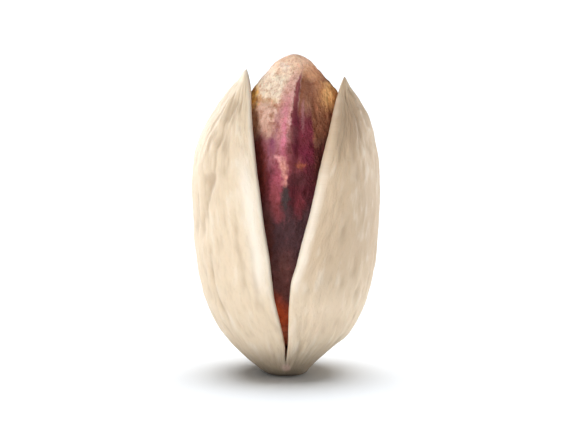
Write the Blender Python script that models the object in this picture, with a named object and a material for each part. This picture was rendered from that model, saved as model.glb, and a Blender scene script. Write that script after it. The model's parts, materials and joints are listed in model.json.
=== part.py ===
"""Pistachio in its split shell, standing upright on its stem scar.

The shell is one woody piece: two valves that gape at the top and are joined below the ends of
the cracks. The kernel stands loose between them. The sizes below are in millimetres, the model is
in metres with +Z up, and the origin is the middle of the stem scar. The wide gape faces -Y.
"""

import math
from dataclasses import dataclass

import bmesh
import bpy
from mathutils import Vector

MM = 0.001
ON_PLANE = 1e-6
WELD_DISTANCE = 0.002
SHARP_ANGLE = math.radians(60)

# Shell
SHELL_HEIGHT = 20.0
SCAR_HALF_WIDTH = 1.4
SCAR_HALF_DEPTH = 1.8
APEX_LEAN_BACK = 0.35
TIP_DROP_POWER = 3
SECTION_FULLNESS = 2.15
WALL = 1.0
FLOOR = 1.5
FLOOR_BLEND = 4
APEX_SOLID_DEPTH = 0.5
APEX_SOLID_POWER = 8
LIP_ROUNDING = 0.34
LIP_SHARE_OF_GAPE = 0.45
LIP_SHARE_OF_VALVE = 0.3
FRONT_CRACK_END = 1.2
BACK_CRACK_END = 8.5
SHELL_COLOUR = (0.78, 0.68, 0.53)
SHELL_ROUGHNESS = 0.55

# Kernel
KERNEL_BOTTOM = 1.87
KERNEL_TOP = 21.05
KERNEL_HALF_WIDTH = 4.4
KERNEL_HALF_DEPTH = 4.25
KERNEL_TOP_SHIFT = 0.56
KERNEL_FORWARD = 0.12
KERNEL_LOW_END_FORWARD = 0.5
KERNEL_LOW_END_POWER = 3
KERNEL_FULLNESS = 2.1
KERNEL_LOW_END_FULLNESS = 2.5
KERNEL_TOP_END_FULLNESS = 1.8
RIDGE_HEIGHT = 0.6
RIDGE_LEFT_WIDTH = math.radians(20)
RIDGE_RIGHT_WIDTH = math.radians(10)
RIDGE_START = 0.35
RIDGE_FULL = 0.75
CHEEK_FLAT = 0.3
CHEEK_ANGLE = math.radians(42)
CHEEK_WIDTH = math.radians(22)
KERNEL_COLOUR = (0.30, 0.10, 0.10)
KERNEL_ROUGHNESS = 0.6

# Mesh density
SHELL_AROUND = 44
SHELL_UP = 30
LIP_STEPS = 4
KERNEL_AROUND = 44
KERNEL_UP = 28


@dataclass(frozen=True)
class Valve:
    """One half of the shell. Each line is (height, distance from the split's plane) points."""

    tip_height: float
    reach: tuple
    front_lip: tuple
    back_lip: tuple


# How far each valve reaches from the split's plane, as (height, reach) points
LEFT_FOOT_REACH = ((0.0, SCAR_HALF_WIDTH), (0.45, 1.98), (1.3, 2.97), (2.45, 4.0), (3.2, 4.52))

RIGHT_FOOT_REACH = ((0.0, SCAR_HALF_WIDTH), (0.35, 1.64), (1.05, 2.3), (1.6, 2.88), (2.4, 3.85), (3.1, 4.45))

BODY_REACH = ((4.1, 5.0), (5.55, 5.5), (7.6, 5.92), (10.0, 6.08), (13.0, 6.15))

# Half the shell's size from front to back, as (height, size) points
SHELL_DEPTH = (
    (0.0, SCAR_HALF_DEPTH),
    (0.2, 2.25),
    (0.6, 2.75),
    (1.2, 3.3),
    (2.1, 4.0),
    (3.2, 4.65),
    (5.2, 5.35),
    (7.4, 5.72),
    (9.5, 5.8),
    (12.5, 5.47),
    (15.0, 4.75),
    (17.0, 3.78),
    (18.5, 2.66),
    (19.4, 1.6),
    (20.0, 0.0),
)

# The angle of the kernel's ridge round its axis, as (height, degrees) points
KERNEL_RIDGE = ((10.0, -95.0), (14.0, -93.0), (18.0, -91.0), (19.5, -86.0), (20.4, -70.0))

LEFT_VALVE = Valve(
    tip_height=SHELL_HEIGHT,
    reach=LEFT_FOOT_REACH
    + BODY_REACH
    + ((15.2, 5.8), (16.7, 5.1), (17.3, 4.7), (17.9, 4.3), (18.9, 3.48), (19.4, 3.05), (20.0, 2.55)),
    front_lip=(
        (FRONT_CRACK_END, 0.0),
        (2.4, 0.1),
        (3.55, 0.32),
        (4.7, 0.58),
        (5.8, 0.8),
        (6.9, 0.93),
        (9.1, 1.19),
        (11.2, 1.5),
        (15.3, 2.0),
        (17.3, 2.2),
        (19.1, 2.27),
        (20.0, 2.55),
    ),
    back_lip=((BACK_CRACK_END, 0.0), (11.0, 0.4), (14.0, 1.25), (17.0, 2.15), (18.6, 2.45), (20.0, 2.55)),
)

RIGHT_VALVE = Valve(
    tip_height=SHELL_HEIGHT - 0.5,
    reach=RIGHT_FOOT_REACH
    + BODY_REACH
    + ((15.2, 5.87), (16.8, 5.45), (17.9, 4.83), (18.9, 4.17), (19.5, 3.8)),
    front_lip=(
        (FRONT_CRACK_END, 0.0),
        (3.0, 0.13),
        (4.7, 0.16),
        (5.8, 0.22),
        (6.9, 0.35),
        (8.0, 0.67),
        (9.1, 0.93),
        (12.0, 1.68),
        (15.3, 2.45),
        (17.0, 2.9),
        (18.8, 3.37),
        (19.5, 3.8),
    ),
    back_lip=((BACK_CRACK_END, 0.0), (11.0, 0.5), (14.0, 1.65), (16.5, 2.9), (18.2, 3.5), (19.5, 3.8)),
)


def dome_angle(height, tip_height):
    """The angle up a dome at this share of its height. It crowds the places near the top."""
    return math.asin(min(1.0, max(0.0, height / tip_height)))


def slope_at(points, i):
    """The slope of a smooth line through its points at point i."""
    before = points[max(0, i - 1)]
    after = points[min(len(points) - 1, i + 1)]
    return (after[1] - before[1]) / (after[0] - before[0])


def smooth_value(points, at):
    """The value at a place on a smooth line through (place, value) points, level past its ends."""
    if at <= points[0][0]:
        return points[0][1]
    for i in range(len(points) - 1):
        (x0, y0), (x1, y1) = points[i], points[i + 1]
        if at <= x1:
            span = x1 - x0
            t = (at - x0) / span
            rise = y1 - y0
            start, end = slope_at(points, i) * span, slope_at(points, i + 1) * span
            bend = (start + end - 2 * rise) * t + 3 * rise - 2 * start - end
            return y0 + t * (start + t * bend)
    return points[-1][1]


def smooth_line(points, height, tip_height):
    """smooth_value with its places spaced as on a dome, so that the line can close in a round tip."""
    placed = [(dome_angle(z, tip_height), value) for z, value in points]
    return smooth_value(placed, dome_angle(height, tip_height))


def smooth_step(low, high, value):
    """0 below low, 1 above high, and a smooth climb between."""
    t = min(1.0, max(0.0, (value - low) / (high - low)))
    return t * t * (3.0 - 2.0 * t)


def rounded(component, fullness):
    """A circle's sine or cosine made one of a superellipse, which fills its box more."""
    return math.copysign(abs(component) ** (2.0 / fullness), component)


def direction_of(unit):
    """(across, along): the cosine and sine round the vertical axis of a point of a unit sphere."""
    radius = math.hypot(unit.x, unit.y)
    if radius < ON_PLANE:
        return 0.0, 0.0
    return unit.x / radius, unit.y / radius


def seam_edges(bm):
    """The sphere's edges up its front and back meridians, from the ends of the cracks."""
    found = []
    for edge in bm.edges:
        if any(abs(vert.co.x) > ON_PLANE for vert in edge.verts):
            continue
        top = max(edge.verts, key=lambda vert: vert.co.z)
        low = min(edge.verts, key=lambda vert: vert.co.z)
        crack_end = FRONT_CRACK_END if low.co.y < 0 or top.co.y < 0 else BACK_CRACK_END
        if shell_rise(top.co) * SHELL_HEIGHT > crack_end:
            found.append(edge)
    return found


def shell_rise(unit):
    """The share of the height at a point of the unit sphere. The lowest ring lies level with the pole."""
    lowest_ring = (1.0 - math.cos(math.pi / SHELL_UP)) / 2.0
    return max(0.0, ((unit.z + 1.0) / 2.0 - lowest_ring) / (1.0 - lowest_ring))


def thinned(size):
    """A half size of the cavity where the outside has this one. It tapers so that it never closes."""
    return size * size / (size + WALL) if size > 0 else 0.0


def cavity_height(height, rise):
    """How high the cavity's wall is where the outer wall is at this height."""
    raised = (height**FLOOR_BLEND + FLOOR**FLOOR_BLEND) ** (1.0 / FLOOR_BLEND)
    return raised - APEX_SOLID_DEPTH * rise**APEX_SOLID_POWER


def shell_point(unit, side, depth, bulge):
    """The place of a point of the shell, in millimetres.

    unit is on the unit sphere. side is the valve's, or 0 on the closed seam. depth is 0 on the
    outside and 1 on the cavity's wall, and bulge is how far a point of the lip stands out, 0 to 1.
    """
    valve = RIGHT_VALVE if side > 0 else LEFT_VALVE
    rise = shell_rise(unit)
    at_pole = rise <= 0.0 and math.hypot(unit.x, unit.y) < ON_PLANE
    tip_gap = SHELL_HEIGHT - valve.tip_height
    height = SHELL_HEIGHT * rise - (tip_gap * rise**TIP_DROP_POWER if side else 0.0)
    across, along = direction_of(unit)
    front_share = (1.0 - along) / 2.0
    front = smooth_line(valve.front_lip, height, valve.tip_height) if side else 0.0
    back = smooth_line(valve.back_lip, height, valve.tip_height) if side else 0.0
    gape = front * front_share + back * (1.0 - front_share)
    reach = smooth_line(valve.reach, height, valve.tip_height)
    lip = min(LIP_ROUNDING, LIP_SHARE_OF_GAPE * gape, LIP_SHARE_OF_VALVE * (reach - gape))
    edge = gape + lip
    half_width = 0.0 if at_pole else reach - edge
    half_depth = 0.0 if at_pole else smooth_line(SHELL_DEPTH, SHELL_HEIGHT * rise, SHELL_HEIGHT)
    middle = APEX_LEAN_BACK * rise * rise
    outer = Vector((
        edge + half_width * abs(rounded(across, SECTION_FULLNESS)),
        middle + half_depth * rounded(along, SECTION_FULLNESS),
        height,
    ))
    inner = Vector((
        edge + thinned(half_width) * abs(rounded(across, SECTION_FULLNESS)),
        middle + thinned(half_depth) * rounded(along, SECTION_FULLNESS),
        cavity_height(height, rise),
    ))
    place = outer.lerp(inner, depth)
    place.x -= lip * bulge
    facing = side if side else math.copysign(1.0, across)
    place.x *= facing
    return place


def split_sphere():
    """A unit sphere that is open along the cracks and over the top, with each vertex's valve."""
    bm = bmesh.new()
    bmesh.ops.create_uvsphere(bm, u_segments=SHELL_AROUND, v_segments=SHELL_UP, radius=1.0)
    bmesh.ops.split_edges(bm, edges=seam_edges(bm))
    side = bm.verts.layers.int.new("side")
    bm.verts.layers.float.new("depth")
    bm.verts.layers.float.new("bulge")
    for vert in bm.verts:
        lean = sum(face.calc_center_median().x for face in vert.link_faces)
        vert[side] = 0 if abs(lean) < ON_PLANE else int(math.copysign(1, lean))
    return bm


def add_lip_and_cavity(bm):
    """Extrudes the open edge round the lip in steps, and closes it with the cavity's wall."""
    depth = bm.verts.layers.float["depth"]
    bulge = bm.verts.layers.float["bulge"]
    outside = list(bm.faces)
    ring = [edge for edge in bm.edges if edge.is_boundary]
    copied = bmesh.ops.duplicate(bm, geom=outside)["geom"]
    cavity = [part for part in copied if isinstance(part, bmesh.types.BMFace)]
    bmesh.ops.reverse_faces(bm, faces=cavity)
    for vert in (part for part in copied if isinstance(part, bmesh.types.BMVert)):
        vert[depth] = 1.0
    for step in range(1, LIP_STEPS + 1):
        turn = math.pi * step / LIP_STEPS
        made = bmesh.ops.extrude_edge_only(bm, edges=ring)["geom"]
        ring = [part for part in made if isinstance(part, bmesh.types.BMEdge)]
        for vert in (part for part in made if isinstance(part, bmesh.types.BMVert)):
            vert[depth] = (1.0 - math.cos(turn)) / 2.0
            vert[bulge] = math.sin(turn)


def new_part(name, mesh, material, collection):
    """An object of this mesh in the collection, shaded smooth except at true edges."""
    mesh.materials.append(material)
    mesh.shade_smooth()
    mesh.set_sharp_from_angle(angle=SHARP_ANGLE)
    part = bpy.data.objects.new(name, mesh)
    collection.objects.link(part)
    return part


def finish(name, colour, roughness):
    """A Principled material of one colour."""
    material = bpy.data.materials.new(name)
    material.diffuse_color = (*colour, 1.0)
    material.use_nodes = True
    shader = material.node_tree.nodes["Principled BSDF"]
    shader.inputs["Base Color"].default_value = (*colour, 1.0)
    shader.inputs["Roughness"].default_value = roughness
    return material


def make_shell(collection):
    """The two valves and the closed end that joins them, as one body."""
    bm = split_sphere()
    add_lip_and_cavity(bm)
    side = bm.verts.layers.int["side"]
    depth = bm.verts.layers.float["depth"]
    bulge = bm.verts.layers.float["bulge"]
    for vert in bm.verts:
        vert.co = shell_point(vert.co, vert[side], vert[depth], vert[bulge]) * MM
    bmesh.ops.remove_doubles(bm, verts=bm.verts, dist=WELD_DISTANCE * MM)
    bmesh.ops.recalc_face_normals(bm, faces=bm.faces)
    mesh = bpy.data.meshes.new("shell")
    bm.to_mesh(mesh)
    bm.free()
    return new_part("shell", mesh, finish("shell_ivory", SHELL_COLOUR, SHELL_ROUGHNESS), collection)


def kernel_oval(rise):
    """The kernel's girth at this share of its height, 1 at the middle. Its low end is the blunter."""
    power = KERNEL_LOW_END_FULLNESS if rise < 0.5 else KERNEL_TOP_END_FULLNESS
    return max(0.0, 1.0 - abs(2.0 * rise - 1.0) ** power) ** (1.0 / power)


def kernel_point(unit):
    """The place of a point of the kernel, in millimetres, for a point of the unit sphere."""
    rise = (unit.z + 1.0) / 2.0
    across, along = direction_of(unit)
    turn = math.atan2(along, across)
    oval = kernel_oval(rise)
    height = KERNEL_BOTTOM + rise * (KERNEL_TOP - KERNEL_BOTTOM)
    past_ridge = turn - math.radians(smooth_value(KERNEL_RIDGE, height))
    width = RIDGE_RIGHT_WIDTH if past_ridge > 0 else RIDGE_LEFT_WIDTH
    ridge = RIDGE_HEIGHT * math.exp(-((past_ridge / width) ** 2))
    cheeks = CHEEK_FLAT * math.exp(-(((abs(past_ridge) - CHEEK_ANGLE) / CHEEK_WIDTH) ** 2))
    swell = oval * (ridge - cheeks) * smooth_step(RIDGE_START, RIDGE_FULL, rise)
    half_width = oval * KERNEL_HALF_WIDTH
    half_depth = oval * KERNEL_HALF_DEPTH
    shift = KERNEL_TOP_SHIFT * rise**2
    forward = KERNEL_FORWARD + KERNEL_LOW_END_FORWARD * (1.0 - rise) ** KERNEL_LOW_END_POWER
    return Vector((
        shift + half_width * rounded(across, KERNEL_FULLNESS) + swell * across,
        -forward + half_depth * rounded(along, KERNEL_FULLNESS) + swell * along,
        height,
    ))


def make_kernel(collection):
    """The seed in its skin, with the ridge down its front and the flatter cheeks beside it."""
    bm = bmesh.new()
    bmesh.ops.create_uvsphere(bm, u_segments=KERNEL_AROUND, v_segments=KERNEL_UP, radius=1.0)
    for vert in bm.verts:
        vert.co = kernel_point(vert.co) * MM
    mesh = bpy.data.meshes.new("kernel")
    bm.to_mesh(mesh)
    bm.free()
    return new_part("kernel", mesh, finish("kernel_skin", KERNEL_COLOUR, KERNEL_ROUGHNESS), collection)


def main():
    """Clears the scene and builds the two pieces in a collection of their own."""
    for old in list(bpy.data.objects):
        bpy.data.objects.remove(old, do_unlink=True)
    nut = bpy.data.collections.new("pistachio")
    bpy.context.scene.collection.children.link(nut)
    make_shell(nut)
    make_kernel(nut)


main()
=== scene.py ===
"""The looks of a pistachio in its split shell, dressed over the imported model.

Shapes are worked out in millimetres and turned into metres when a mesh is finished. +Z is up along
the nut, the wide gape faces -Y, and the origin is the middle of the stem scar.
"""

import json
import logging
import math
from dataclasses import dataclass
from enum import Enum

import bmesh
import bpy
import numpy as np
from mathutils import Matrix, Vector, noise

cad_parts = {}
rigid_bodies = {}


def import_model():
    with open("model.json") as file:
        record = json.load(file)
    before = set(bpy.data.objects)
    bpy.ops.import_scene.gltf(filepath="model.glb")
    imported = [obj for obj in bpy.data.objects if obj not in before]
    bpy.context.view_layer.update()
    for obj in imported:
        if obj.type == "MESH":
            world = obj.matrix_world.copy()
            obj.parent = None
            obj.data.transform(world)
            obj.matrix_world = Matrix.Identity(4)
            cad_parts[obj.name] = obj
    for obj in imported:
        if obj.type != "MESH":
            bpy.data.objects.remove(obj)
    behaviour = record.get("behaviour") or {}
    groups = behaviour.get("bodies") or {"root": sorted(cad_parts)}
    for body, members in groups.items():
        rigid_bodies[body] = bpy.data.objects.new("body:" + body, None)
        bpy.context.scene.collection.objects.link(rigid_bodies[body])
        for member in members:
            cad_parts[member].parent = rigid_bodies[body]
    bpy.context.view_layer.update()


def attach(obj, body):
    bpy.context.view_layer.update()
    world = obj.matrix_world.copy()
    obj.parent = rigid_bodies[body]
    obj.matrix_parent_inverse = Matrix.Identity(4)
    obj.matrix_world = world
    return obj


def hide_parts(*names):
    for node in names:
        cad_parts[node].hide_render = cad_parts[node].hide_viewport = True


MM = 0.001
ON_PLANE = 1e-6
FRONT_CRACK_END = 1.2
BACK_CRACK_END = 8.5

Colour = tuple[float, float, float]
Triple = tuple[float, float, float]
Pair = tuple[float, float]
Points = tuple[Pair, ...]
Array = np.ndarray
Mesh = bpy.types.Mesh
Item = bpy.types.Object
Socket = bpy.types.NodeSocket
Inputs = dict[str | int, Socket | float | tuple]


@dataclass(frozen=True)
class SmoothLine:
    """A smooth line through (place, value) points, level past its ends.

    With a dome it is spaced as on a dome of that height, so that it can close in a round tip.
    """

    points: Points
    dome: float = 0.0

    def spaced(self, places: Array) -> Array:
        """The places as the line spaces them."""
        return np.arcsin(np.clip(places / self.dome, 0.0, 1.0)) if self.dome else places

    def at(self, places: Array) -> Array:
        """Reads the line.

        Args:
            places: Where to read it.

        Returns:
            The line's value at each place.
        """
        known = self.spaced(np.array([place for place, _ in self.points]))
        values = np.array([value for _, value in self.points])
        before = np.maximum(np.arange(len(known)) - 1, 0)
        after = np.minimum(np.arange(len(known)) + 1, len(known) - 1)
        slopes = (values[after] - values[before]) / (known[after] - known[before])
        wanted = np.clip(self.spaced(places), known[0], known[-1])
        low = np.clip(np.searchsorted(known, wanted) - 1, 0, len(known) - 2)
        span = known[low + 1] - known[low]
        t = (wanted - known[low]) / span
        rise = values[low + 1] - values[low]
        start = slopes[low] * span
        end = slopes[low + 1] * span
        bend = (start + end - 2.0 * rise) * t + 3.0 * rise - 2.0 * start - end
        return values[low] + t * (start + t * bend)


def smooth_step(low: float, high: float, values: Array) -> Array:
    """0 below low, 1 above high, and a smooth climb between."""
    t = np.clip((values - low) / (high - low), 0.0, 1.0)
    return t * t * (3.0 - 2.0 * t)


def bump(centre: float, width: float, values: Array) -> Array:
    """A bell that is 1 at its centre and falls off over its width."""
    return np.exp(-(((values - centre) / width) ** 2))


def rounded(component: Array, fullness: float) -> Array:
    """A circle's sine or cosine made one of a superellipse, which fills its box more."""
    return np.sign(component) * np.abs(component) ** (2.0 / fullness)


def natural(points: Array, scale: Triple, octaves: int, seed: float) -> Array:
    """Smooth noise for relief.

    Args:
        points: One place for each row.
        scale: How fast the noise changes along each axis.
        octaves: How many finer layers it has.
        seed: Shifts it, so that two uses differ.

    Returns:
        The noise at each place, from about -1 to 1.
    """
    placed = points * np.array(scale) + seed
    return np.array([noise.fractal(Vector(place), 1.0, 2.0, octaves) for place in placed])


def directions(unit: Array) -> tuple[Array, Array]:
    """Finds which way each point lies from the vertical axis.

    Args:
        unit: Points of the unit sphere.

    Returns:
        The cosine and the sine of each point's angle round the axis, both 0 on the axis.
    """
    radius = np.hypot(unit[:, 0], unit[:, 1])
    safe = np.where(radius < ON_PLANE, 1.0, radius)
    away = radius >= ON_PLANE
    return np.where(away, unit[:, 0] / safe, 0.0), np.where(away, unit[:, 1] / safe, 0.0)


def read(data: bpy.types.bpy_prop_collection, field: str, width: int) -> Array:
    """Reads one field of a mesh's data.

    Args:
        data: The vertices, their normals or an attribute's data.
        field: The field's name.
        width: How many numbers it holds.

    Returns:
        One row of that many numbers for each vertex.
    """
    found = np.empty(len(data) * width, np.float32)
    data.foreach_get(field, found)
    return found.reshape(-1, width).astype(float)


def coordinates(mesh: Mesh) -> Array:
    """The places of a mesh's vertices, one for each row."""
    return read(mesh.vertices, "co", 3)


def normals(mesh: Mesh) -> Array:
    """The normals of a mesh's vertices, one for each row."""
    return read(mesh.vertex_normals, "vector", 3)


def read_values(mesh: Mesh, name: str) -> Array:
    """The number that the mesh keeps at each vertex under this name."""
    return read(mesh.attributes[name].data, "value", 1)[:, 0]


def place_vertices(mesh: Mesh, places: Array) -> None:
    """Moves a mesh's vertices to these places."""
    mesh.vertices.foreach_set("co", places.astype(np.float32).ravel())
    mesh.update()


def keep_values(mesh: Mesh, name: str, values: Array) -> None:
    """Keeps a number at each vertex, or a vector where the values have columns.

    Args:
        mesh: The mesh.
        name: The name to keep them under, which a finish may read.
        values: One number or one row for each vertex.
    """
    kind, field = ("FLOAT_VECTOR", "vector") if values.ndim == 2 else ("FLOAT", "value")
    layer = mesh.attributes.get(name) or mesh.attributes.new(name, kind, "POINT")
    layer.data.foreach_set(field, values.astype(np.float32).ravel())


def start_sphere(name: str, around: int, up: int) -> Item:
    """Adds the sphere that a piece is shaped from.

    Args:
        name: The piece's name.
        around: Steps round its axis.
        up: Steps from pole to pole.

    Returns:
        The sphere, of radius 1, alone in the selection.
    """
    bpy.ops.object.select_all(action="DESELECT")
    bpy.ops.mesh.primitive_uv_sphere_add(segments=around, ring_count=up, radius=1.0)
    piece = bpy.context.object
    piece.name = name
    piece.data.name = name
    return piece


@dataclass(frozen=True)
class Valve:
    """One half of the shell, as lines of (height, distance from the split's plane) points."""

    tip_height: float
    lip_rounding: float
    reach: Points
    front_lip: Points
    back_lip: Points

    def line(self, name: str, heights: Array) -> Array:
        """The named line at each height. It closes in the valve's round tip."""
        return SmoothLine(getattr(self, name), self.tip_height).at(heights)


# How far the valves reach sideways. Each has a foot and a top of its own, and they share the body
LEFT_FOOT: Points = ((0.0, 1.4), (0.45, 1.98), (1.3, 2.97), (2.45, 4.0), (3.2, 4.52))
RIGHT_FOOT: Points = ((0.0, 1.4), (0.35, 1.64), (1.05, 2.3), (1.6, 2.88), (2.4, 3.85), (3.1, 4.45))
BODY: Points = ((4.1, 5.0), (5.55, 5.5), (7.6, 5.92), (10.0, 6.08), (13.0, 6.15))
LEFT_TOP: Points = (
    (15.2, 5.8), (16.7, 5.1), (17.3, 4.7), (17.9, 4.3), (18.9, 3.48), (19.4, 3.05), (20.0, 2.55),
)
RIGHT_TOP: Points = ((15.2, 5.87), (16.8, 5.45), (17.9, 4.83), (18.9, 4.17), (19.5, 3.8))

LEFT_VALVE = Valve(
    tip_height=20.0,
    lip_rounding=0.18,
    reach=LEFT_FOOT + BODY + LEFT_TOP,
    front_lip=(
        (FRONT_CRACK_END, 0.0), (2.4, 0.05), (3.55, 0.24), (4.7, 0.53), (5.8, 0.77), (6.9, 0.89),
        (9.1, 1.16), (11.2, 1.5), (15.3, 2.0), (17.3, 2.2), (19.1, 2.27), (20.0, 2.55),
    ),
    back_lip=(
        (BACK_CRACK_END, 0.0), (11.0, 0.4), (14.0, 1.25), (17.0, 2.15), (18.6, 2.45), (20.0, 2.55),
    ),
)

RIGHT_VALVE = Valve(
    tip_height=19.5,
    lip_rounding=0.6,
    reach=RIGHT_FOOT + BODY + RIGHT_TOP,
    front_lip=(
        (FRONT_CRACK_END, 0.0), (3.0, 0.13), (4.7, 0.16), (5.8, 0.22), (6.9, 0.35), (8.0, 0.67),
        (9.1, 0.93), (12.0, 1.68), (15.3, 2.45), (17.0, 2.9), (18.8, 3.37), (19.5, 3.8),
    ),
    back_lip=(
        (BACK_CRACK_END, 0.0), (11.0, 0.5), (14.0, 1.65), (16.5, 2.9), (18.2, 3.5), (19.5, 3.8),
    ),
)


@dataclass(frozen=True)
class Dent:
    """A long dent in the shell's front, between two (sideways, height) places.

    Where its depth is below 0 it is a fold that stands out.
    """

    start: Pair
    end: Pair
    half_width: float
    depth: float

    def at(self, places: Array) -> Array:
        """Measures the dent.

        Args:
            places: (sideways, height) places, one for each row.

        Returns:
            How deep it is at each place.
        """
        start = np.array(self.start)
        run = np.array(self.end) - start
        share = np.clip((places - start) @ run / (run @ run), 0.0, 1.0)
        away = np.linalg.norm(places - start - share[:, None] * run, axis=1)
        return self.depth * bump(0.0, self.half_width, away)


DENTS = (
    # The broad hollow along the left rim
    Dent((-3.16, 18.18), (-4.21, 16.16), 0.55, 0.1),
    Dent((-4.28, 16.03), (-4.93, 13.29), 0.55, 0.1),
    Dent((-5, 13.15), (-5.39, 10.21), 0.45, 0.08),
    # The short dents in it
    Dent((-3.26, 18.23), (-3.82, 17.35), 0.2, 0.1),
    Dent((-3.95, 17.11), (-4.47, 15.7), 0.26, 0.09),
    Dent((-5.03, 13.46), (-5.2, 12.26), 0.24, 0.12),
    Dent((-5.1, 12.02), (-5.26, 11.38), 0.16, 0.06),
    Dent((-5.35, 10.81), (-5.4, 9.2), 0.26, 0.06),
    # Faint dents near the left lip
    Dent((-3.62, 15.06), (-3.88, 13.95), 0.2, 0.05),
    Dent((-2.63, 12.05), (-2.73, 11.19), 0.16, 0.05),
    Dent((-2.89, 16.77), (-2.99, 15.72), 0.16, 0.05),
    Dent((-2.73, 8.14), (-2.43, 6.31), 0.3, 0.05),
    Dent((-4.61, 9.87), (-4.47, 8.74), 0.2, 0.05),
    # Long wrinkles low on the left valve
    Dent((-4.9, 7.21), (-4.24, 4.87), 0.14, 0.08),
    Dent((-5.03, 8.08), (-4.64, 5.29), 0.14, 0.06),
    Dent((-4.05, 6.27), (-3.91, 5.24), 0.16, 0.06),
    Dent((-2.37, 6.04), (-2.01, 3.81), 0.14, 0.06),
    # The broad hollow high on the right valve
    Dent((3.95, 18.45), (3.78, 15.07), 0.5, 0.15),
    Dent((4.54, 17.53), (5.13, 15.71), 0.5, 0.08),
    # The fold along the right rim
    Dent((4.21, 18.76), (4.74, 17.54), 0.14, -0.06),
    Dent((4.74, 17.54), (5.33, 16.31), 0.14, -0.06),
    Dent((5.33, 16.31), (5.72, 14.93), 0.14, -0.05),
    # Faint wrinkles low on the right valve
    Dent((3.42, 7.79), (3.52, 6.53), 0.14, 0.05),
    Dent((5.13, 7.76), (5.03, 5.79), 0.16, 0.06),
    Dent((4.61, 5.92), (4.28, 4.4), 0.2, 0.05),
    Dent((0.89, 3.29), (0.84, 2.04), 0.14, 0.05),
)


@dataclass(frozen=True)
class Stain:
    """A soft-edged patch of colour, as an ellipsoid round a place in millimetres."""

    centre: Triple
    reach: Triple
    colour: Colour
    strength: float
    edge: float


@dataclass(frozen=True)
class Band:
    """A strip of colour beside the kernel's crest.

    It runs between two angles, in degrees to the right of the crest, and between two heights, and
    ends before the kernel's back. A patchy one is this much weaker between its patches.
    """

    angles: Pair
    heights: Pair
    colour: Colour
    strength: float
    edge: float
    end: float = 0.35
    patchy: float = 0.0


@dataclass(frozen=True)
class Gloss:
    """How a skin shines, and how far light goes into it, in millimetres and by colour."""

    smoothest: float
    roughest: float
    specular: float
    glow: float
    glow_depth: float
    glow_radius: Triple


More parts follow.
